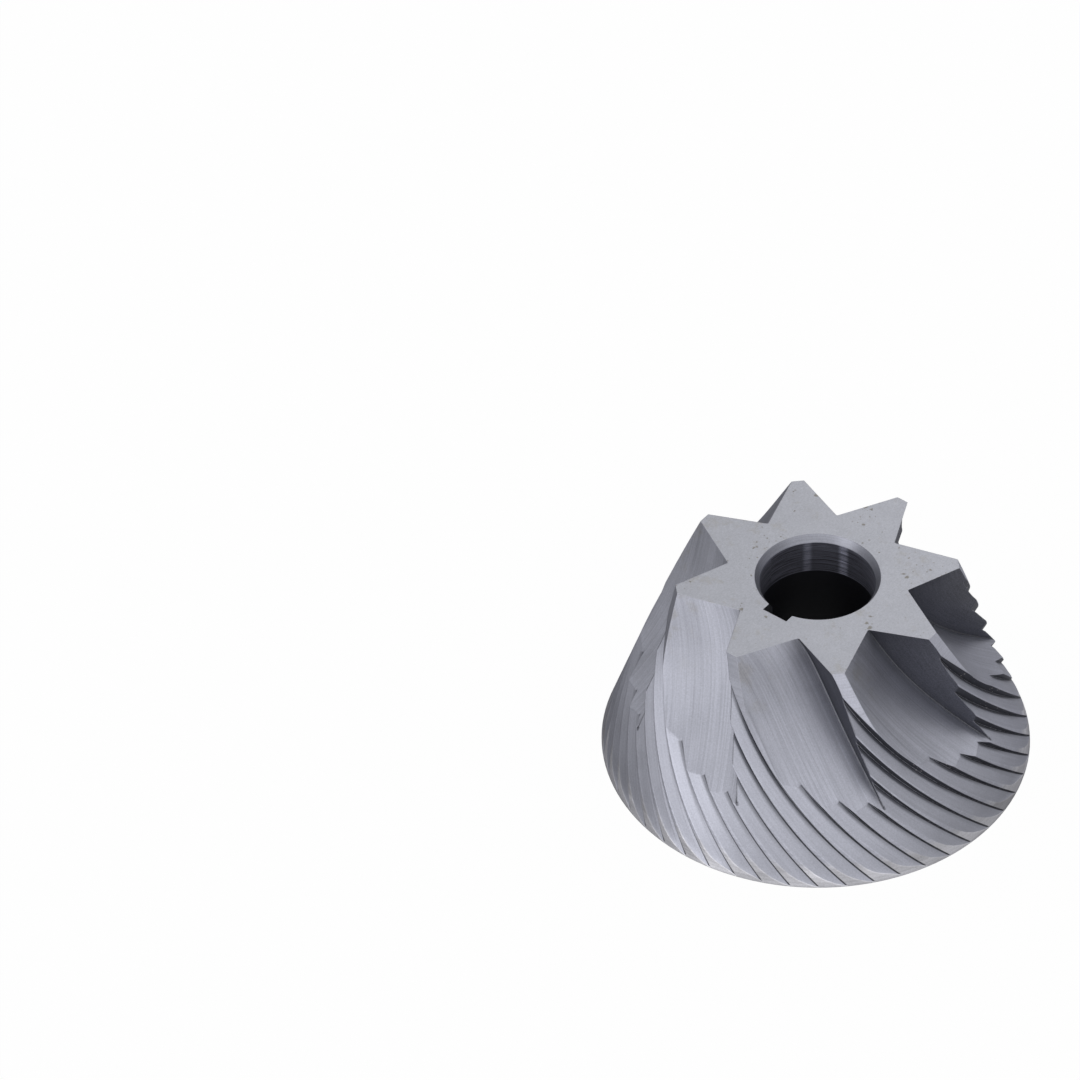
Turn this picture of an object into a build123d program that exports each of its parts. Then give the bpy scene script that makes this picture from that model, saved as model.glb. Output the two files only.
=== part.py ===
"""Conical grinding burr of a coffee grinder, machined from one piece of tool steel.

The burr stands on its large flat face. The origin is the centre of that face, +Z is the
axis of the bore and the keyway opens towards -Y, under the tip of one blade. Going down
the cone every flute and tooth winds counterclockwise, seen from above. Millimetres, degrees.
"""
import os
from math import atan2, cos, degrees, exp, radians, sin, sqrt, tan

from build123d import *

# Turned blank
base_diameter = 45.0
tip_diameter = 29.5
height = 23.0

# Bore for the drive shaft, with its keyway
bore_diameter = 12.0
bore_chamfer = 0.55
bore_chamfer_height = 0.9
keyway_width = 3.0
keyway_depth = 1.4

# Main flutes, which leave the blades between them. The last three are polynomials of the
# drop below the top: the angle up there, then what changes it per millimetre, and so on
blade_count = 8
tip_land_angle = 5.1
flute_root_diameter = 19.0
flute_run_out = 7.6
flute_belly = 3.15
flute_root_fillet = 0.2
flute_root_angle = (-17.65, 3.27, -0.0746)
rake_angle = (44.4, -4.84, 0.146)
floor_angle = (53.4, 0.74, 0.273, -0.0114)

# Fine teeth on the lower cone
teeth_per_blade = 6
tooth_lead = 142.5
first_tooth_angle = 55.6
tooth_depth = 0.92
tooth_base_depth = 0.2
tooth_face_angle = 52.0
tooth_land = 0.08
gullet_share = 0.22
gullet_depth_share = 0.68
run_out_height = 0.4
base_land_height = 1.3
tooth_top = 21.5
short_tooth_top = 14.3
short_teeth = 2

# Room that the cutters keep outside the blank
flute_margin = 0.5
tooth_margin = 0.05
flute_overtravel = 1.0
tooth_overtravel = 0.4
flute_sections = 10
tooth_sections = 9

base_radius = base_diameter / 2
tip_radius = tip_diameter / 2
bore_radius = bore_diameter / 2
blade_pitch = 360 / blade_count
tooth_pitch = blade_pitch / teeth_per_blade
keyway_side = -90.0
cutting_edge_angle = keyway_side - tip_land_angle / 2


def cone_radius(z):
    """Radius of the turned blank at height z."""
    return base_radius + (tip_radius - base_radius) * z / height


def polar(radius, angle):
    """Point of the plane at a radius and an angle about the axis."""
    return Vector(radius * cos(radians(angle)), radius * sin(radians(angle)))


def reach(start, direction, radius):
    """Point where a ray from start along the angle direction leaves a circle about the axis."""
    step = polar(1, direction)
    along = start.dot(step)
    length = -along + sqrt(along**2 - start.dot(start) + radius**2)
    return start + step * length


def angle_at(z, factors):
    """Angle at height z from the factors of its polynomial of the drop below the top."""
    return sum(factor * (height - z) ** power for power, factor in enumerate(factors))


def flute_root_radius(z):
    """Radius of a flute's root: an arc that sinks below the top and climbs out of the cone."""
    share = (z - flute_run_out) / (height - flute_run_out)
    full_depth = tip_radius - flute_root_diameter / 2
    return cone_radius(z) - full_depth * share - 4 * flute_belly * share * (1 - share)


def tooth_gap(z):
    """Depth and width in degrees of a tooth gap: deepest two thirds up, and run out at the base."""
    share = z / tooth_top
    base_depth = tooth_base_depth * (1 - exp(-z / run_out_height))
    depth = (6.75 * tooth_depth * share**2 + base_depth) * (1 - share)
    full_width = tooth_pitch - degrees(tooth_land / cone_radius(z))
    width = full_width * min(1, max(0.1, z / base_land_height))
    return depth, width


# Cutter of one flute: a steep rake face, a rounded root and a wide floor that fans out
flute_bottom = flute_run_out - flute_overtravel
flute_top = height + flute_overtravel
with BuildPart() as flute_cutter:
    for index in range(flute_sections):
        level = flute_bottom + (flute_top - flute_bottom) * index / (flute_sections - 1)
        root_radius = flute_root_radius(level)
        root_angle = cutting_edge_angle + angle_at(level, flute_root_angle)
        outer_radius = max(cone_radius(level), root_radius) + flute_margin
        root = polar(root_radius, root_angle)
        rake_end = reach(root, root_angle + angle_at(level, rake_angle), outer_radius)
        floor_end = reach(root, root_angle - angle_at(level, floor_angle), outer_radius)
        rake_end_angle = degrees(atan2(rake_end.Y, rake_end.X))
        opening = (rake_end_angle - degrees(atan2(floor_end.Y, floor_end.X))) % 360
        crown = polar(outer_radius / cos(radians(opening / 2)), rake_end_angle - opening / 2)
        with BuildSketch(Plane.XY.offset(level)) as flute_section:
            with BuildLine():
                Polyline(rake_end, root, floor_end, crown, close=True)
            make_face()
            root_corner = flute_section.vertices().sort_by_distance(root)[0]
            fillet(root_corner, radius=flute_root_fillet)
    loft()


def tooth_cutter(top):
    """Cutter of one tooth gap, up to a height: a steep tooth face, a gullet and a long flank."""
    travel = top + tooth_overtravel
    with BuildPart() as cutter:
        for index in range(tooth_sections):
            level = -tooth_overtravel + travel * (index / (tooth_sections - 1)) ** 1.3
            depth, width = tooth_gap(level)
            edge_angle = cutting_edge_angle + first_tooth_angle - 360 * level / tooth_lead
            radius = cone_radius(level)
            outer_radius = radius + tooth_margin + max(0, -depth)
            root_angle = edge_angle - degrees(depth / tan(radians(tooth_face_angle)) / radius)
            root = polar(radius - depth, root_angle)
            gullet_angle = root_angle + (edge_angle - width - root_angle) * gullet_share
            gullet_end = polar(radius - depth * gullet_depth_share, gullet_angle)
            face_end = reach(root, edge_angle + 90 - tooth_face_angle, outer_radius)
            flank_end = polar(outer_radius, edge_angle - width)
            crown = polar(outer_radius + tooth_margin, edge_angle - width / 2)
            with BuildSketch(Plane.XY.offset(level)):
                with BuildLine():
                    Polyline(face_end, root, gullet_end, flank_end, crown, close=True)
                make_face()
        loft()
    return cutter.part


long_tooth_cutter = tooth_cutter(tooth_top + tooth_overtravel)
short_tooth_cutter = tooth_cutter(short_tooth_top)

with BuildPart() as burr:
    with BuildSketch(Plane.XZ):
        with BuildLine():
            Polyline(
                (bore_radius + bore_chamfer, 0),
                (base_radius, 0),
                (tip_radius, height),
                (bore_radius + bore_chamfer, height),
                (bore_radius, height - bore_chamfer_height),
                (bore_radius, bore_chamfer_height),
                close=True,
            )
        make_face()
    revolve(axis=Axis.Z)

    # Keyway through the whole bore
    with BuildSketch():
        with Locations((0, -(bore_radius + keyway_depth) / 2)):
            Rectangle(keyway_width, bore_radius + keyway_depth)
    extrude(amount=height, mode=Mode.SUBTRACT)

    # Eight flutes
    with PolarLocations(0, blade_count):
        add(flute_cutter.part, mode=Mode.SUBTRACT)

    # Tooth gaps: the first ones of each blade climb to its cutting edge, the last ones only
    # to the flute floor beside it
    for tooth in range(teeth_per_blade):
        gap_cutter = short_tooth_cutter if tooth >= teeth_per_blade - short_teeth else long_tooth_cutter
        with PolarLocations(0, blade_count, start_angle=-tooth * tooth_pitch):
            add(gap_cutter, mode=Mode.SUBTRACT)

burr.part.label = "grinding_burr"

os.makedirs("parts", exist_ok=True)
export_step(burr.part, "parts/grinding_burr.step")
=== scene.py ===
"""Finish, light and camera for a conical coffee grinder burr of milled and ground steel."""
from math import cos, pi, radians, sin

import bpy
import numpy as np
from mathutils import Matrix, Vector


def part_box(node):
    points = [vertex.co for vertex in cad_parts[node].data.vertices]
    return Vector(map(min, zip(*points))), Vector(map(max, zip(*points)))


bl_info = {
    "name": "Grinding Burr",
    "version": (1, 0, 0),
    "blender": (4, 5, 0),
    "location": "View3D > Sidebar > Burr",
    "description": "Steel finish, studio and camera for a conical coffee grinder burr",
    "category": "Object",
}

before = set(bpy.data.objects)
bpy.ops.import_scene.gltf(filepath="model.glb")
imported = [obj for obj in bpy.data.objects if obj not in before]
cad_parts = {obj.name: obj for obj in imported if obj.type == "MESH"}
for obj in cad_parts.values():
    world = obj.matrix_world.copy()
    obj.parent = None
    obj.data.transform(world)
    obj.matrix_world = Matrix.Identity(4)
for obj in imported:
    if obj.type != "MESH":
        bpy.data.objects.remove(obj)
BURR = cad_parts["grinding_burr"]
LOW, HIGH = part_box("grinding_burr")
MM = 0.001

# Form of the cone and its cuts, in millimetres and degrees, as the solid has them
HEIGHT = round((HIGH.z - LOW.z) / MM, 3)
BASE_RADIUS = round((HIGH.x - LOW.x) / 2 / MM, 2)
TIP_RADIUS = 14.75
BORE_RADIUS = 6.0
BORE_CHAMFER = 0.55
BORE_CHAMFER_HEIGHT = 0.9
REAMED_TO = 18.3
KEYWAY_HALF = 1.5
KEYWAY_REACH = 7.4
BLADE_COUNT = 8
TOOTH_COUNT = 48
CUTTING_EDGE = -90.0 - 5.1 / 2
FLUTE_ROOT_RADIUS = 9.5
FLUTE_RUN_OUT = 7.6
FLUTE_BELLY = 3.15
TOOTH_LEAD = 142.5
TOOTH_START = 55.6
TOOTH_TOP = 21.5
TOOTH_DEPTH = 0.92
TOOTH_BASE_DEPTH = 0.2
TOOTH_RUN_OUT = 0.4
TOOTH_FACE = radians(52.0)
# Share of a tooth's flank next to its root that gets painted shade
GULLET = 0.22

# Angles as polynomials of the drop below the top, and the middle of a blade behind its flute
FLUTE_ROOT_ANGLE = (-17.65, 3.27, -0.0746)
RAKE_ANGLE = (44.4, -4.84, 0.146)
FLOOR_ANGLE = (53.4, 0.74, 0.273, -0.0114)
BLADE_MIDDLE = (24.8, 1.9, -0.07)

# Worn marks and painted highlights: the scratched flute, the scratch's distance from the root
# and its span of heights, the angles of two painted sheens in the bore, the stretch of the star
# face's grind and the pits' shift
SCRATCHED_FLUTE = 1.0
SCRATCH_ACROSS = 4.45
SCRATCH_SPAN = (8.5, 16.0)
PAINTED_SHEENS = (100.0, 137.0)
GRIND = (9.0, 1.6, 1.0)
PIT_SHIFT = (3.1, 7.7, 0.0)

# Stage, in metres and in degrees to the camera's right: the floor's reach, the two sides on which
# the steel mirrors it lighter, the distances between which its shade near the burr ends, and the
# share of it that shows as plain white, while the rest shows its shadow
FLOOR_REACH = 3.0
FLOOR_LINES = 13
LIT_SIDE = 0.0
RIGHT_SIDE = 125.0
NEAR_SHADE = (0.028, 0.08)
PLAIN_WHITE = 0.975

# Cards: their distance, and each one's height between two angles
CARD_RADIUS = 0.5
CARD_LINES = 25
CARDS = {"right_card": (0.26, 52.0, 172.0), "left_card": (0.42, -165.0, -66.0)}

# Lamp, as the camera sees it: to its left, towards it and low
LAMP_PLACE = (-0.85, -0.7, 0.2)
LAMP_SIZE = 0.5

# Depth in metres of the bump that the grain gives
RELIEF = 0.00002


class Wire:
    """One output socket. Arithmetic on it adds Math nodes, so a formula reads as plain Python."""

    def __init__(self, graph, socket):
        self.graph = graph
        self.socket = socket

    def math(self, operation, *others):
        return self.graph.math(operation, self, *others)

    def __add__(self, other):
        return self.math("ADD", other)

    def __sub__(self, other):
        return self.math("SUBTRACT", other)

    def __mul__(self, other):
        return self.math("MULTIPLY", other)

    def __truediv__(self, other):
        return self.math("DIVIDE", other)

    def __radd__(self, other):
        return self.graph.math("ADD", other, self)

    def __rsub__(self, other):
        return self.graph.math("SUBTRACT", other, self)

    def __rmul__(self, other):
        return self.graph.math("MULTIPLY", other, self)

    def step(self, low, high):
        """0 below low and 1 above high, with a smooth rise between; low may be the greater."""
        return self.graph.node(
            "ShaderNodeMapRange",
            {"interpolation_type": "SMOOTHSTEP"},
            {"Value": self, "From Min": low, "From Max": high},
        )

    def close_to(self, value, far, near):
        """1 within near of a value and 0 beyond far, with a smooth fall between."""
        return (self - value).math("ABSOLUTE").step(far, near)

    def toward(self, other, share):
        """The value moved to another one by a share of the way."""
        return self + (other - self) * share

    def fold(self, period):
        """The value's remainder over a period, never negative."""
        return self.math("FLOORED_MODULO", period)


class Graph:
    """The node tree of a material or of the world, and one method that adds any node to it."""

    def __init__(self, owner):
        owner.use_nodes = True
        self.tree = owner.node_tree
        self.tree.nodes.clear()

    def node(self, kind, settings=None, inputs=None, output=0):
        """Adds a node: settings first, then its sockets' values or links. Returns one output."""
        made = self.tree.nodes.new(kind)
        for name, value in (settings or {}).items():
            setattr(made, name, value)
        for name, value in (inputs or {}).items():
            if isinstance(value, Wire):
                self.tree.links.new(value.socket, made.inputs[name])
            else:
                made.inputs[name].default_value = value
        return Wire(self, made.outputs[output]) if made.outputs else made

    def math(self, operation, *values):
        return self.node("ShaderNodeMath", {"operation": operation}, dict(enumerate(values)))

    def vector(self, operation, *values, output=0):
        inputs = dict(enumerate(values))
        return self.node("ShaderNodeVectorMath", {"operation": operation}, inputs, output)

    def combine(self, x, y, z):
        return self.node("ShaderNodeCombineXYZ", None, {0: x, 1: y, 2: z})

    def mix(self, factor, below, above):
        """Colour below where factor is 0, and above where it is 1."""
        return self.node(
            "ShaderNodeMix",
            {"data_type": "RGBA", "clamp_factor": True},
            {0: factor, 6: below, 7: above},
            2,
        )

    def noise(self, place, scale, detail=2.0, roughness=0.5):
        return self.node(
            "ShaderNodeTexNoise",
            None,
            {"Vector": place, "Scale": scale, "Detail": detail, "Roughness": roughness},
        )

    def lines(self, x, y, z, detail, roughness):
        """Noise over three measures, each stretched by its own factor."""
        return self.noise(self.combine(x, y, z), 1.0, detail, roughness)

    def cells(self, place, scale):
        """Distance to the nearest scattered point."""
        return self.node("ShaderNodeTexVoronoi", None, {"Vector": place, "Scale": scale})

    def grey(self, level):
        """The same level in all three colours."""
        return self.combine(level, level, level)


class BurrFinish(bpy.types.PropertyGroup):
    """Greys and grain of the burr's machined faces."""

    milled: bpy.props.FloatProperty(
        name="Flute floors",
        description="Grey of the milled flute floors",
        default=0.44,
        min=0,
        max=1,
    )
    ground: bpy.props.FloatProperty(
        name="Star face",
        description="Grey of the ground star-shaped face",
        default=0.45,
        min=0,
        max=1,
    )
    turned: bpy.props.FloatProperty(
        name="Turned lands",
        description="Grey of what is left of the turned cone",
        default=0.52,
        min=0,
        max=1,
    )
    toothed: bpy.props.FloatProperty(
        name="Tooth flanks",
        description="Grey of the fine teeth's flanks",
        default=0.465,
        min=0,
        max=1,
    )
    # Painted shade: the steep faces get a darker grey than the floors
    rake: bpy.props.FloatProperty(
        name="Rake faces",
        description="Grey of the steep faces of blades and teeth",
        default=0.165,
        min=0,
        max=1,
    )
    bore: bpy.props.FloatProperty(
        name="Bore wall",
        description="Grey of the bore's wall and the keyway",
        default=0.19,
        min=0,
        max=1,
    )
    # Bright edges: partly worn, partly a painted highlight
    edge: bpy.props.FloatProperty(
        name="Worn edges",
        description="Grey of the worn bright edges",
        default=0.7,
        min=0,
        max=1,
    )
    roughness: bpy.props.FloatProperty(
        name="Roughness",
        description="Roughness of the milled steel",
        default=0.42,
        min=0,
        max=1,
        subtype="FACTOR",
    )
    line_pitch: bpy.props.FloatProperty(
        name="Milling line pitch",
        description="Distance between two milled lines on a flute floor",
        default=0.00022,
        min=0.00005,
        unit="LENGTH",
    )
    edge_width: bpy.props.FloatProperty(
        name="Edge width",
        description="Width of the worn bright edges",
        default=0.00011,
        min=0.00001,
        unit="LENGTH",
    )


class BurrStudio(bpy.types.PropertyGroup):
    """Camera and light."""

    azimuth: bpy.props.FloatProperty(
        name="Camera azimuth",
        description="Camera's turn about the burr",
        default=radians(38.625),
        subtype="ANGLE",
    )
    elevation: bpy.props.FloatProperty(
        name="Camera elevation",
        description="Camera's tilt above the floor",
        default=radians(42.82),
        subtype="ANGLE",
    )
    roll: bpy.props.FloatProperty(
        name="Camera roll",
        description="Turn of the picture",
        default=radians(-0.82),
        subtype="ANGLE",
    )
    distance: bpy.props.FloatProperty(
        name="Camera distance",
        description="Depth of the base centre before the camera",
        default=1.0,
        unit="LENGTH",
    )
    aside: bpy.props.FloatProperty(
        name="Aim to the left",
        description="Distance from the view's axis to the burr",
        default=0.02896,
        unit="LENGTH",
    )
    above: bpy.props.FloatProperty(
        name="Aim above",
        description="Height of the view's axis over the burr",
        default=0.02063,
        unit="LENGTH",
    )
    focal: bpy.props.FloatProperty(
        name="Focal length", description="Lens, in millimetres", default=317.3
    )
    key: bpy.props.FloatProperty(
        name="Key light", description="Power of the large left lamp, in watts", default=1.2
    )
    ambient: bpy.props.FloatProperty(
        name="Ambient", description="Strength of the world's light on matt surfaces", default=0.75
    )
    floor_shade: bpy.props.FloatProperty(
        name="Shaded floor",
        description="Grey of the floor's far side that the steel mirrors",
        default=0.46,
        min=0,
        max=1,
    )
    right_card: bpy.props.FloatProperty(
        name="Right card",
        description="Grey of the card that the burr's right side mirrors",
        default=0.5,
        min=0,
        max=1,
    )
    left_card: bpy.props.FloatProperty(
        name="Left card",
        description="Grey of the card that the burr's left side mirrors",
        default=0.46,
        min=0,
        max=1,
    )


class Burr:
    """The burr's surface as its material sees it: place on the cone, and which cut made it."""

    def __init__(self, graph):
        self.graph = graph
        coordinates = graph.node("ShaderNodeTexCoord", None, None, "Object")
        self.place = graph.vector("MULTIPLY", coordinates, (1 / MM, 1 / MM, 1 / MM))
        parts = graph.node("ShaderNodeSeparateXYZ", None, {0: self.place}).socket.node
        self.x, self.y, self.z = (Wire(graph, parts.outputs[axis]) for axis in range(3))
        self.radius = (self.x * self.x + self.y * self.y).math("SQRT")
        self.angle = self.y.math("ARCTAN2", self.x)
        self.drop = HEIGHT - self.z
        self.cone = BASE_RADIUS + self.z * ((TIP_RADIUS - BASE_RADIUS) / HEIGHT)
        self.depth = self.cone - self.radius
        self._faces()
        self._flutes()
        self._teeth()

    def _angle_at(self, factors):
        """Angle in radians from the factors of its polynomial of the drop below the top."""
        total = factors[-1]
        for factor in reversed(factors[:-1]):
            total = self.drop * total + factor
        return total * (pi / 180)

    def _faces(self):
        """Star face, underside, bore with its keyway, and what is left of the turned cone."""
        self.star = self.z.step(HEIGHT - 0.03, HEIGHT - 0.01)
        self.flat = self.star.math("MAXIMUM", self.z.step(0.03, 0.01))
        rim = BORE_RADIUS + BORE_CHAMFER + 0.05
        slot = self.x.math("ABSOLUTE").step(KEYWAY_HALF + 0.05, KEYWAY_HALF + 0.03)
        slot = slot * self.y.step(0.0, -0.5)
        slot = slot * self.radius.step(KEYWAY_REACH + 0.4, KEYWAY_REACH + 0.3)
        inside = self.radius.step(rim + 0.02, rim)
        self.bore = inside.math("MAXIMUM", slot) * (1 - self.flat)
        self.wall = self.bore * self.radius.step(BORE_RADIUS + 0.06, BORE_RADIUS + 0.03)
        self.slot = self.bore * slot * self.radius.step(BORE_RADIUS + 0.02, BORE_RADIUS + 0.05)
        # Painted light and shade: the wall is lighter above the reamer's end and near black below
        # it
        self.painted_lit_wall = self.wall * self.z.step(REAMED_TO - 0.08, REAMED_TO + 0.08)
        # A painted highlight ring at the reamer's end
        self.painted_rim_highlight = self.wall * self.z.close_to(REAMED_TO, 0.1, 0.03)
        self.cut = (1 - self.flat) * (1 - self.bore)
        self.turned = self.depth.step(0.035, 0.015) * self.cut
        self.foot = self.z.step(3.2, 1.6)

    def _flutes(self):
        """Unwinds the flutes onto one section: distance from the root along floor and rake face."""
        turn = 2 * pi / BLADE_COUNT
        share = (self.z - FLUTE_RUN_OUT) / (HEIGHT - FLUTE_RUN_OUT)
        full_depth = TIP_RADIUS - FLUTE_ROOT_RADIUS
        root_radius = self.cone - share * full_depth - share * (1 - share) * (4 * FLUTE_BELLY)
        root_angle = self._angle_at(FLUTE_ROOT_ANGLE) + radians(CUTTING_EDGE)
        behind = self._angle_at(BLADE_MIDDLE)
        around = self.angle - root_angle + behind
        local = around.fold(turn) - behind
        self.flute = (around / turn).math("FLOOR").fold(BLADE_COUNT)
        out = self.radius * local.math("COSINE") - root_radius
        side = self.radius * local.math("SINE")
        floor_angle = self._angle_at(FLOOR_ANGLE)
        floor_cos = floor_angle.math("COSINE")
        floor_sin = floor_angle.math("SINE")
        rake_angle = self._angle_at(RAKE_ANGLE)
        rake_cos = rake_angle.math("COSINE")
        rake_sin = rake_angle.math("SINE")
        self.across_floor = out * floor_cos - side * floor_sin
        self.across_rake = out * rake_cos + side * rake_sin
        off_floor = (out * floor_sin + side * floor_cos).math("ABSOLUTE")
        off_rake = (out * rake_sin - side * rake_cos).math("ABSOLUTE")
        cut = self.cut * (1 - self.turned)
        self.floor = cut * off_floor.step(0.1, 0.05) * self.across_floor.step(-0.1, 0.1)
        self.rake = cut * off_rake.step(0.1, 0.05) * self.across_rake.step(-0.1, 0.1)
        self.rake = self.rake * off_floor.step(0.05, 0.1)
        self.root = self.cut * off_floor.math("MAXIMUM", off_rake).step(0.24, 0.1)

    def _teeth(self):
        """Unwinds the fine teeth: distance clockwise from a tooth's edge, and place in its gap."""
        turn = 2 * pi / TOOTH_COUNT
        share = self.z / TOOTH_TOP
        base_depth = (1 - (self.z * (-1 / TOOTH_RUN_OUT)).math("EXPONENT")) * TOOTH_BASE_DEPTH
        self.gap_depth = (share * share * (6.75 * TOOTH_DEPTH) + base_depth) * (1 - share)
        edge_angle = radians(CUTTING_EDGE + TOOTH_START) - self.z * (2 * pi / TOOTH_LEAD)
        behind = edge_angle - self.angle
        self.tooth = (behind / turn).math("FLOOR").fold(TOOTH_COUNT)
        self.across_tooth = behind.fold(turn) * self.radius
        made = self.floor.math("MAXIMUM", self.rake).math("MAXIMUM", self.turned)
        self.gap = self.cut * (1 - made)
        off_face = self.across_tooth * sin(TOOTH_FACE) - self.depth * cos(TOOTH_FACE)
        self.tooth_face = self.gap * off_face.math("ABSOLUTE").step(0.12, 0.06)
        root = self.gap_depth * (cos(TOOTH_FACE) / sin(TOOTH_FACE))
        from_root = self.across_tooth - root
        self.flank = from_root / (self.cone * turn - root)
        below = self.depth - self.gap_depth
        self.from_root = (from_root * from_root + below * below).math("SQRT")


class Grain:
    """Marks of the tools: noise that is stretched along the way that each tool went."""

    def __init__(self, graph, burr, line_pitch):
        self.cloud = graph.noise(burr.place, 0.35, 3.0, 0.55)
        self.fine = graph.noise(burr.place, 6.5, 2.0, 0.8)

        # Milled lines follow the flute, and each flute has its own
        across, flute = burr.across_floor, burr.flute
        line = MM / line_pitch
        self.milled = graph.lines(across * line, flute * 7.3, burr.z * 0.06, 4.0, 0.8)
        self.bands = graph.lines(across * 0.9, flute * 5.1, burr.z * 0.04, 2.0, 0.5)
        streaks = graph.lines(across * 3.1, flute * 2.7, burr.z * 0.1 + 4.0, 2.0, 0.6)
        self.streaks = streaks.step(0.56, 0.72)
        self.rake = graph.lines(burr.across_rake * 5.0, flute * 3.7, burr.z * 0.3, 3.0, 0.6)

        # Tooth lines follow the tooth, turned rings go round, and the star face is ground straight
        across, tooth = burr.across_tooth, burr.tooth
        self.toothed = graph.lines(across * 4.0, tooth * 2.9, burr.z * 0.12, 3.0, 0.6)
        self.rings = graph.lines(burr.z * 5.0, burr.angle * 0.4, 0.0, 3.0, 0.7)
        rough_rings = graph.lines(burr.z * 7.0, burr.angle * 0.8, 3.0, 4.0, 0.8)
        self.rough_rings = rough_rings.step(0.3, 0.75)
        self.foot_patch = graph.lines(tooth * 3.3, burr.z * 0.5, 1.0, 2.0, 0.6)
        self.ground = graph.noise(graph.vector("MULTIPLY", burr.place, GRIND), 1.0, 3.0, 0.6)


class WearAndShine:
    """Pits, stains, dull ends, bright edges partly worn and partly painted highlight, nicks and one
    scratch, each from 0 to 1.
    """

    def __init__(self, graph, burr, edge_width):
        # Pits in clusters on the star face
        place = graph.vector("ADD", burr.place, PIT_SHIFT)
        cluster = graph.noise(place, 0.17, 2.0).step(0.5, 0.62)
        ragged = graph.noise(place, 3.0, 3.0, 0.7) * 0.5 - 0.25
        size = graph.noise(place, 0.8, 2.0, 0.7) * 0.6 - 0.3 + cluster * 0.12
        pits = (graph.cells(place, 0.8) + ragged - size).step(0.06, 0.0)
        specks = (graph.cells(place, 2.1) + ragged * 0.7 - size).step(0.08, 0.0) * cluster
        self.pits = pits.math("MAXIMUM", specks) * burr.star

        # Faint stains beside them, and on the dull upper end of each flute floor
        self.dull = burr.z.step(14.0, 22.5) * burr.across_floor.step(3.5, 6.0) * burr.floor
        star_stains = graph.noise(place, 0.42, 4.0, 0.75).step(0.55, 0.7) * burr.star
        floor_stains = graph.noise(burr.place, 0.5, 3.0, 0.6).step(0.5, 0.66) * self.dull
        self.stains = star_stains.math("MAXIMUM", floor_stains)

        # Where a rounded normal leaves the face's own normal there is an edge
        own_normal = graph.node("ShaderNodeNewGeometry", None, None, "Normal")
        self.round_normal = graph.node("ShaderNodeBevel", {"samples": 4}, {"Radius": edge_width})
        sharpness = 1 - graph.vector("DOT_PRODUCT", own_normal, self.round_normal, output=1)
        chipped = graph.noise(burr.place, 2.6, 4.0, 0.7).step(0.42, 0.62)
        # The bright edge is partly worn and partly a painted highlight
        bright = sharpness.step(0.03, 0.22) * (0.35 + chipped * 0.65)
        self.edge = bright * (1 - burr.bore) * (1 - burr.root)
        nicked = graph.noise(burr.place, 1.7, 3.0, 0.8).step(0.55, 0.62)
        self.nicks = sharpness.step(0.03, 0.12) * nicked * burr.gap

        # One scratch runs down the floor of one flute
        scratch = burr.across_floor.close_to(SCRATCH_ACROSS, 0.06, 0.01)
        scratch = scratch * burr.flute.math("COMPARE", SCRATCHED_FLUTE, 0.1)
        low, high = SCRATCH_SPAN
        self.scratch = scratch * burr.z.step(low, low + 2.0) * burr.z.step(high, high - 2.0)


def tooth_grey(graph, burr, finish, grain):
    """Grey of the fine teeth, and the mask of the painted specks of highlight deep in their gaps.
    """
    # A gap's root is a line of painted shade, with a painted highlight line in it where it is deep
    deep = burr.gap_depth.step(0.4, 0.8)
    # Painted shade on the flank next to the root
    painted_gullet_shade = burr.flank.step(GULLET + 0.1, GULLET - 0.12) * burr.gap_depth.step(0.0, 0.7)
    painted_root_shade = burr.from_root.step(0.24, 0.08) * burr.gap * (1 - deep * 0.5)
    painted_root_highlight = burr.from_root.step(0.07, 0.03) * deep * 0.8
    # Painted highlights: bright specks on the deep tooth faces
    painted_glints = (graph.cells(burr.place, 1.9) - 0.14).step(0.05, 0.0) * burr.tooth_face * deep
    painted_glints = painted_glints * graph.noise(burr.place, 0.3, 0.0).step(0.5, 0.6)
    grey = finish.toothed * (0.86 + grain.toothed * 0.28) * (1 - painted_gullet_shade * 0.4)
    # Tooth faces get the rake faces' darker grey, painted shade
    grey = grey.toward(finish.rake * 0.8, burr.tooth_face)
    grey = grey.toward(finish.rake * 0.3, painted_root_shade)
    grey = grey.toward(finish.toothed * 0.7, painted_root_highlight)
    return grey.toward(finish.toothed * 1.6, painted_glints), painted_glints


def with_flutes(grey, burr, finish, grain, wear_and_shine):
    """Grey so far, with milled floors, and rake faces and roots between them in painted shade."""
    milled = finish.milled * (0.49 + grain.milled * 0.84 + grain.bands * 0.2)
    milled = milled * (1 - grain.streaks * 0.1 - wear_and_shine.scratch * 0.2) * (1 - wear_and_shine.dull * 0.18)
    grey = grey.toward(milled, burr.floor)
    # Rake faces get their darker grey, painted shade
    grey = grey.toward(finish.rake * (0.3 + grain.rake * 0.6 + grain.fine * 0.8), burr.rake)
    # Painted shade in each root and on the floor beside it
    painted_shade_beside_root = burr.across_floor.step(1.5, 0.1) * burr.floor
    return grey * (1 - burr.root * 0.55) * (1 - painted_shade_beside_root * 0.2)


def turned_grey(burr, finish, grain):
    """Turned lands' grey: patchy at the foot, with painted shade on the blade tips of one side."""
    turned = finish.turned * (0.72 + grain.rings * 0.56)
    turned = turned * (1 + burr.foot * (grain.foot_patch * 1.8 - 0.66))
    # Painted shade: the blade tips on one side of the burr are darker
    return turned * (1 - burr.z.step(13.0, 17.0) * burr.x.step(9.0, 3.0) * 0.3)


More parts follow.
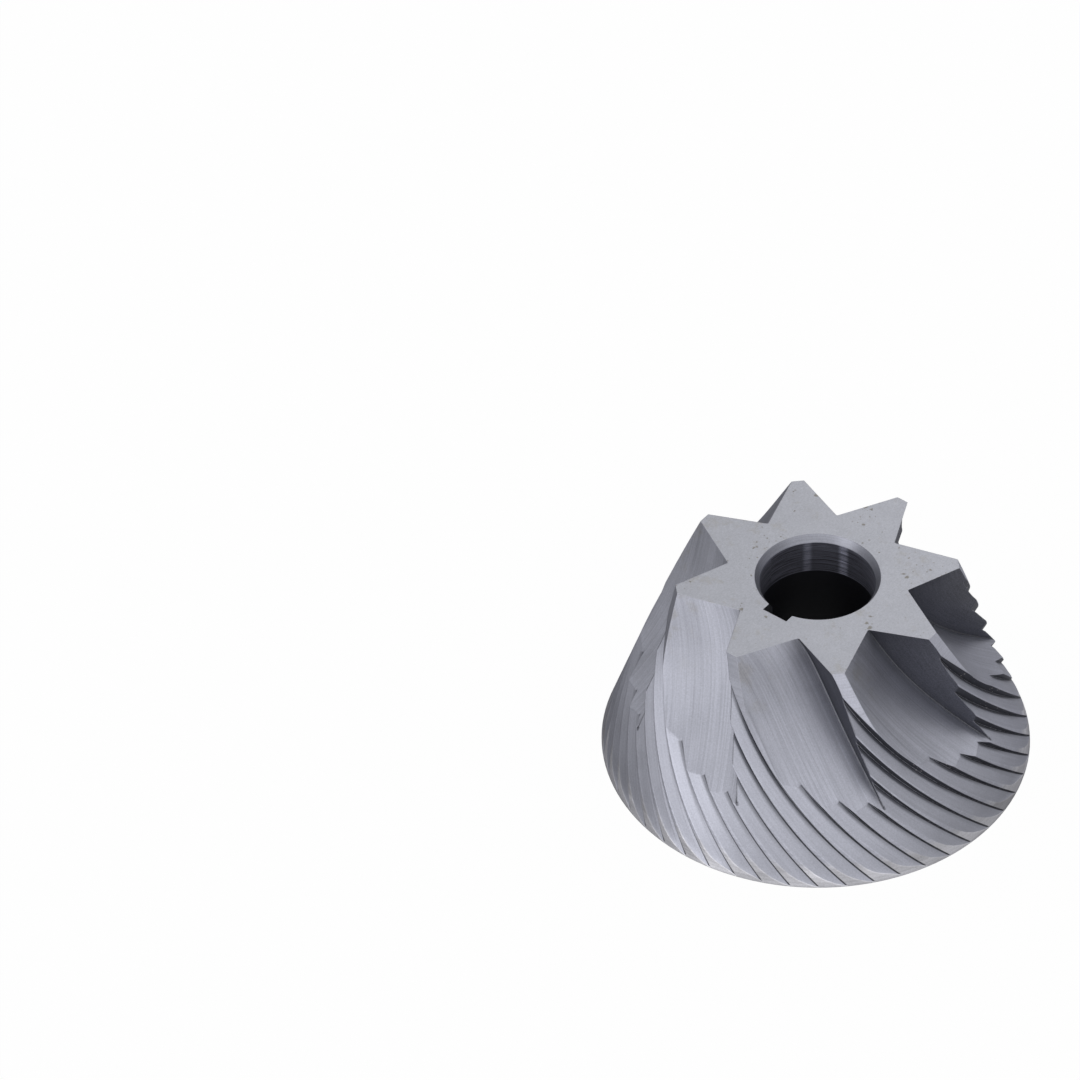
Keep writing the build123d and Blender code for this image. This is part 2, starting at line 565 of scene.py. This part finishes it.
def bore_wall_grey(burr, finish, grain):
    """Bore wall's grey: rough rings, two upright painted sheens, painted shade below the reamer's
    end.
    """
    around = burr.angle * (180 / pi)
    wide, narrow = PAINTED_SHEENS
    # Two upright painted highlights on the wall
    painted_sheen = around.close_to(wide, 7.0, 1.5) + around.close_to(narrow, 6.0, 1.0) * 0.6
    painted_lit_wall = burr.painted_lit_wall * (0.06 + grain.rough_rings * (0.9 + painted_sheen * 2.8))
    # Near black below the reamer's end, painted shade, and a lighter ring at it, a painted
    # highlight
    return finish.bore * (0.07 + painted_lit_wall) + burr.painted_rim_highlight * grain.rings * finish.bore * 0.6


def steel(finish):
    """The burr's one material: each face has the grey, grain and gloss of its cut, with painted
    light and shade.
    """
    material = bpy.data.materials.new("burr_steel")
    graph = Graph(material)
    burr = Burr(graph)
    grain = Grain(graph, burr, finish.line_pitch)
    wear_and_shine = WearAndShine(graph, burr, finish.edge_width)

    # Grey of each face, then what lies over all of them
    grey, painted_glints = tooth_grey(graph, burr, finish, grain)
    grey = with_flutes(grey, burr, finish, grain, wear_and_shine)
    grey = grey.toward(turned_grey(burr, finish, grain), burr.turned)
    # Painted light: the star face grows lighter towards one side
    painted_light_slope = (burr.x * 0.78 + burr.y * 0.62) * 0.004
    grey = grey.toward(finish.ground * (0.9 + grain.ground * 0.2 + painted_light_slope), burr.flat)
    grey = grey.toward(finish.ground * 0.8 * (0.7 + grain.rings * 0.6), burr.bore)
    grey = grey.toward(bore_wall_grey(burr, finish, grain), burr.wall)
    # Painted shade: the keyway is near black
    grey = grey.toward(finish.bore * 0.2, burr.slot)
    grey = grey * (0.9 + grain.cloud * 0.2) * (0.75 + grain.fine * 0.5)
    grey = grey * (1 - wear_and_shine.pits * 0.32) * (1 - wear_and_shine.stains * 0.08)
    # Bright edges: partly worn, partly a painted highlight
    grey = grey.toward(finish.edge, wear_and_shine.edge * 0.6)
    grey = grey * (1 - wear_and_shine.nicks * 0.6)

    # The steel is bluish, and brownish at the foot, in pits and stains and on the painted highlight
    # specks
    # Painted shade: the bore's wall is made bluer, the blue cast of shade
    blue = 1.17 - burr.flat * 0.05 + burr.wall * 0.12
    cool = graph.combine(grey, grey * 1.02, grey * blue)
    warm = graph.combine(grey * 1.05, grey, grey * 0.92)
    warmth = burr.turned * burr.foot * 0.35 + wear_and_shine.pits * 0.8 + wear_and_shine.stains * 0.3 + painted_glints * 0.9
    colour = graph.mix(warmth, cool, warm)

    metallic = 0.9 - burr.wall.math("MAXIMUM", burr.slot) * 0.75
    roughness = finish.roughness + (grain.cloud - 0.5) * 0.1 + burr.flat * 0.04 + wear_and_shine.pits * 0.15
    relief = grain.milled * burr.floor * 0.6 + grain.toothed * burr.gap * 0.5
    relief = relief + grain.rings * burr.turned * 0.9 + grain.ground * burr.flat * 0.35
    relief = relief + grain.rake * burr.rake * 0.5 + grain.rings * burr.bore * 0.9 - wear_and_shine.pits * 1.8
    bump = graph.node(
        "ShaderNodeBump",
        None,
        {"Strength": 0.5, "Distance": RELIEF, "Height": relief, "Normal": wear_and_shine.round_normal},
    )
    shader = graph.node(
        "ShaderNodeBsdfPrincipled",
        None,
        {
            "Base Color": colour,
            "Metallic": metallic,
            "Roughness": roughness,
            "Specular Tint": (0.35, 0.35, 0.37, 1),
            "Normal": bump,
        },
    )
    graph.node("ShaderNodeOutputMaterial", None, {"Surface": shader})
    return material


class BURR_OT_finish_steel(bpy.types.Operator):
    """Give the grinding burr its milled, ground and turned steel."""

    bl_idname = "burr.finish_steel"
    bl_label = "Finish Steel"

    def execute(self, context):
        material = steel(context.scene.burr_finish)
        for slot in BURR.material_slots:
            slot.material = material
        return {"FINISHED"}


def grid_mesh(name, points):
    """Quads over a grid of points, an array of rows by columns by xyz."""
    rows, columns = points.shape[:2]
    index = np.arange(rows * columns).reshape(rows, columns)
    corners = (index[:-1, :-1], index[:-1, 1:], index[1:, 1:], index[1:, :-1])
    faces = np.stack([corner.ravel() for corner in corners], axis=1)
    mesh = bpy.data.meshes.new(name)
    mesh.from_pydata(points.reshape(-1, 3).tolist(), [], faces.tolist())
    return mesh


def ray_kinds(graph):
    """The camera's rays, and those of gloss and glass, each as 0 or 1."""
    path = graph.node("ShaderNodeLightPath").socket.node
    camera = Wire(graph, path.outputs["Is Camera Ray"])
    glossy = Wire(graph, path.outputs["Is Glossy Ray"])
    return camera, glossy.math("MAXIMUM", Wire(graph, path.outputs["Is Transmission Ray"]))


def stand(name, points, material):
    """Adds a stage piece, a sheet over a grid of points."""
    piece = bpy.data.objects.new(name, grid_mesh(name, points))
    piece.data.materials.append(material)
    bpy.context.scene.collection.objects.link(piece)


def lamp(name, power, size, place, target):
    """A soft square lamp that faces the target."""
    light = bpy.data.lights.new(name, "AREA")
    light.energy = power
    light.size = size
    holder = bpy.data.objects.new(name, light)
    holder.location = place
    holder.rotation_euler = (Vector(place) - Vector(target)).to_track_quat("Z", "Y").to_euler()
    bpy.context.scene.collection.objects.link(holder)


class BURR_OT_build_stage(bpy.types.Operator):
    """Lay the pale floor, stand the grey cards, and set the soft lamp and the white world."""

    bl_idname = "burr.build_stage"
    bl_label = "Build Stage"

    def execute(self, context):
        studio = context.scene.burr_studio
        line = np.linspace(-FLOOR_REACH, FLOOR_REACH, FLOOR_LINES)
        across, along = np.meshgrid(line, line)
        material = bpy.data.materials.new("floor")
        graph = Graph(material)
        camera, glossy = ray_kinds(graph)

        # The floor is white to the camera. The gloss sees painted shade on it near the burr and
        # behind it
        place = graph.node("ShaderNodeTexCoord", None, None, "Object")
        away = graph.vector("LENGTH", place, output=1)
        direction = graph.vector("NORMALIZE", place)
        lit, right = (radians(side) + studio.azimuth for side in (LIT_SIDE, RIGHT_SIDE))
        towards = graph.vector("DOT_PRODUCT", direction, (sin(lit), -cos(lit), 0), output=1)
        behind = graph.vector("DOT_PRODUCT", direction, (sin(right), -cos(right), 0), output=1)
        behind = behind.step(0.4, 1.0)
        shade = studio.floor_shade
        lightness = towards.step(0.1, 1.0) * (1 - shade) + shade + behind * 0.24
        near = behind * 0.45 + 0.42
        lightness = lightness * (near + (1 - near) * away.step(*NEAR_SHADE))
        level = 1 - (1 - lightness) * glossy
        paper = graph.node("ShaderNodeBsdfDiffuse", None, {"Color": (0.88, 0.88, 0.88, 1)})
        white = graph.node(
            "ShaderNodeEmission", None, {"Color": graph.grey(level), "Strength": 1.0}
        )
        seen = camera.math("MAXIMUM", glossy) * PLAIN_WHITE
        shown = graph.node("ShaderNodeMixShader", None, {0: seen, 1: paper, 2: white})
        graph.node("ShaderNodeOutputMaterial", None, {"Surface": shown})
        stand("floor", np.stack([across, along, across * 0], axis=2), material)

        # Cards that only the steel's gloss can see
        for name, (height, first, last) in CARDS.items():
            material = bpy.data.materials.new(name)
            graph = Graph(material)
            glossy = ray_kinds(graph)[1]
            clear = graph.node("ShaderNodeBsdfTransparent")
            level = getattr(studio, name)
            colour = (level, level, level, 1)
            grey = graph.node("ShaderNodeEmission", None, {"Color": colour, "Strength": 1.0})
            shown = graph.node("ShaderNodeMixShader", None, {0: glossy, 1: clear, 2: grey})
            graph.node("ShaderNodeOutputMaterial", None, {"Surface": shown})
            side = np.radians(np.linspace(first, last, CARD_LINES)) + studio.azimuth
            side, rise = np.meshgrid(side, (0.0, height))
            points = [CARD_RADIUS * np.sin(side), -CARD_RADIUS * np.cos(side), rise]
            stand(name, np.stack(points, axis=2), material)

        world = bpy.data.worlds.new("studio")
        context.scene.world = world
        graph = Graph(world)
        camera, glossy = ray_kinds(graph)
        level = camera.math("MAXIMUM", glossy) * (1 - studio.ambient) + studio.ambient
        sky = graph.node(
            "ShaderNodeBackground", None, {"Color": graph.grey(level), "Strength": 1.0}
        )
        graph.node("ShaderNodeOutputWorld", None, {"Surface": sky})

        place = Matrix.Rotation(studio.azimuth, 3, "Z") @ Vector(LAMP_PLACE)
        lamp("key", studio.key, LAMP_SIZE, place, (0, 0, HEIGHT * MM / 2))
        return {"FINISHED"}


class BURR_OT_place_camera(bpy.types.Operator):
    """Set the camera at the photograph's viewing angle."""

    bl_idname = "burr.place_camera"
    bl_label = "Place Camera"

    def execute(self, context):
        studio = context.scene.burr_studio
        camera = bpy.data.cameras.new("camera")
        camera.sensor_width = 36
        camera.lens = studio.focal
        camera.clip_start = 0.05
        holder = bpy.data.objects.new("camera", camera)
        tilt = Matrix.Rotation(pi / 2 - studio.elevation, 3, "X")
        turn = Matrix.Rotation(studio.azimuth, 3, "Z") @ tilt @ Matrix.Rotation(studio.roll, 3, "Z")
        place = turn @ Vector((-studio.aside, studio.above, studio.distance))
        holder.matrix_world = Matrix.Translation(place) @ turn.to_4x4()
        context.scene.collection.objects.link(holder)
        context.scene.camera = holder
        context.scene.view_settings.view_transform = "Standard"
        return {"FINISHED"}


class BURR_PT_panel(bpy.types.Panel):
    """Lists the burr's steps and sizes in the sidebar."""

    bl_idname = "BURR_PT_panel"
    bl_label = "Grinding Burr"
    bl_space_type = "VIEW_3D"
    bl_region_type = "UI"
    bl_category = "Burr"

    def draw(self, context):
        for settings in (context.scene.burr_finish, context.scene.burr_studio):
            for name in settings.__annotations__:
                self.layout.prop(settings, name)
        for step in STEPS:
            self.layout.operator(step.bl_idname)


STEPS = (BURR_OT_finish_steel, BURR_OT_build_stage, BURR_OT_place_camera)
CLASSES = (BurrFinish, BurrStudio, *STEPS, BURR_PT_panel)


def register():
    for cls in CLASSES:
        bpy.utils.register_class(cls)
    bpy.types.Scene.burr_finish = bpy.props.PointerProperty(type=BurrFinish)
    bpy.types.Scene.burr_studio = bpy.props.PointerProperty(type=BurrStudio)


def unregister():
    del bpy.types.Scene.burr_studio
    del bpy.types.Scene.burr_finish
    for cls in reversed(CLASSES):
        bpy.utils.unregister_class(cls)


def main():
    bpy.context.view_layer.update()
    register()
    bpy.ops.burr.finish_steel()
    bpy.ops.burr.build_stage()
    bpy.ops.burr.place_camera()


if __name__ == "__main__":
    main()
